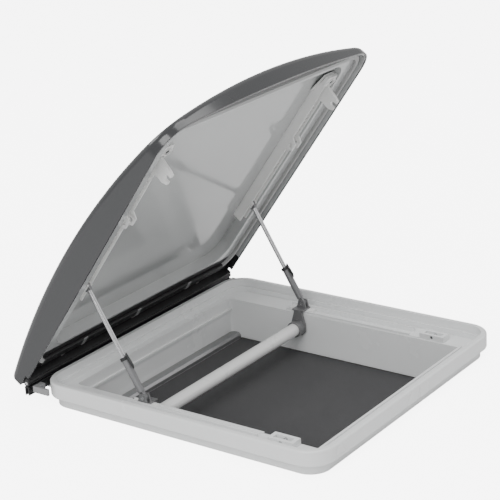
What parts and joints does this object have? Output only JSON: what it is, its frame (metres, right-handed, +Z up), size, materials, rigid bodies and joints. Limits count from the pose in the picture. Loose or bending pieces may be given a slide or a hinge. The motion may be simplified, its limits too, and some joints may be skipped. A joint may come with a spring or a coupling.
{
  "type": "deck hatch",
  "caption": "Square roof hatch with a smoked double-skinned lid, moulded white frame, full-width hinge, sliding cross bar with two struts, hooked latches and a pull blind.",
  "frame": {"origin": "middle of the frame's outline, level with the underside of the skirt that sits on the roof", "axes": "+X along the hinge, +Y towards the hinge at the rear, +Z up out of the roof"},
  "size_m": [0.512, 0.5577, 0.5446],
  "materials": {
    "frame_plastic": "gloss white moulded plastic",
    "rail_plastic": "satin white moulded plastic",
    "seal_rubber": "black closed-cell rubber",
    "lid_seal_foam": "light grey soft rubber",
    "hinge_plastic": "black extruded plastic",
    "grey_plastic": "mid grey moulded plastic",
    "steel": "bright drawn steel",
    "cap_plastic": "white push-in caps",
    "smoked_acrylic": "smoked glossy acrylic",
    "clear_acrylic": "light grey translucent acrylic",
    "dark_metal": "dark grey coated metal",
    "spring_black": "black sprung plastic",
    "bar_white": "white coated tube",
    "blind_cloth": "charcoal blackout cloth",
    "pull_bar_grey": "mid grey anodised bar",
    "roller_alu": "plain aluminium tube"
  },
  "bodies": {
    "frame": {"base_frame": "frame_plastic", "bedding_seal": "seal_rubber", "hinge_profile_frame": "hinge_plastic", "hinge_pin": "steel", "inner_trim_frame": "frame_plastic", "trim_screws": "steel", "screw_caps": "cap_plastic", "blind_cassette": "frame_plastic", "blind_fabric": "blind_cloth", "guide_rail_left": "frame_plastic", "guide_rail_right": "frame_plastic", "latch_keeper_left": "steel", "latch_keeper_right": "steel", "hinge_end_cap_left": "grey_plastic", "hinge_end_cap_right": "grey_plastic"},
    "blind_roller": {"blind_roller": "roller_alu"},
    "blind_pull_bar": {"blind_pull_bar": "pull_bar_grey"},
    "lid": {"lid_dome": "smoked_acrylic", "lid_inner_pane": "clear_acrylic", "lid_seal": "lid_seal_foam", "hinge_profile_lid": "hinge_plastic", "hinge_clips": "grey_plastic", "rail_screws": "steel", "lid_rail_left": "rail_plastic", "lid_rail_right": "rail_plastic", "rail_lug_left": "rail_plastic", "rail_lug_right": "rail_plastic", "latch_hook_left": "rail_plastic", "latch_hook_right": "rail_plastic", "strut_clevis_left": "rail_plastic", "strut_clevis_right": "rail_plastic", "clevis_pin_left": "steel", "clevis_pin_right": "steel"},
    "strut_left": {"strut_foot_left": "dark_metal", "strut_sleeve_left": "dark_metal", "strut_rod_left": "steel", "strut_head_left": "dark_metal", "strut_clip_left": "spring_black"},
    "strut_right": {"strut_foot_right": "dark_metal", "strut_sleeve_right": "dark_metal", "strut_rod_right": "steel", "strut_head_right": "dark_metal", "strut_clip_right": "spring_black"},
    "bar": {"bar_tube": "bar_white", "bar_plug_left": "grey_plastic", "bar_plug_right": "grey_plastic", "bar_bracket_left": "dark_metal", "bar_bracket_right": "dark_metal", "foot_pin_left": "steel", "foot_pin_right": "steel", "slider_shoe_left": "cap_plastic", "slider_shoe_right": "cap_plastic"}
  },
  "joints": [
    {"name": "lid_hinge", "type": "hinge", "parent": "frame", "child": "lid", "pos_m": [0, 0.267, 0.033], "axis": [1, 0, 0], "range_deg": [0, 54]},
    {"name": "strut_left_head", "type": "hinge", "parent": "lid", "child": "strut_left", "pos_m": [-0.205, 0.17412, 0.19068], "axis": [1, 0, 0], "range_deg": [-109, 1]},
    {"name": "strut_right_head", "type": "hinge", "parent": "lid", "child": "strut_right", "pos_m": [0.205, 0.17412, 0.19068], "axis": [1, 0, 0], "range_deg": [-109, 1]},
    {"name": "strut_left_foot", "type": "hinge", "parent": "strut_left", "child": "bar", "pos_m": [-0.205, 0.08124, 0.033], "axis": [1, 0, 0], "range_deg": [-1, 55]},
    {"name": "blind_slide", "type": "slide", "parent": "frame", "child": "blind_pull_bar", "axis": [0, -1, 0], "range_m": [0, 0.38], "deforming": ["blind_fabric"]},
    {"name": "blind_roller_spin", "type": "hinge", "parent": "frame", "child": "blind_roller", "pos_m": [0, -0.2333, -0.05175], "axis": [-1, 0, 0], "range_deg": [-1, 5446]}
  ],
  "couplings": [
    {"joint": "strut_left_head", "follows": "lid_hinge", "ratio": -2},
    {"joint": "strut_right_head", "follows": "lid_hinge", "ratio": -2},
    {"joint": "strut_left_foot", "follows": "lid_hinge", "ratio": 1},
    {"joint": "blind_roller_spin", "follows": "blind_slide", "rad_per_m": 250}
  ]
}
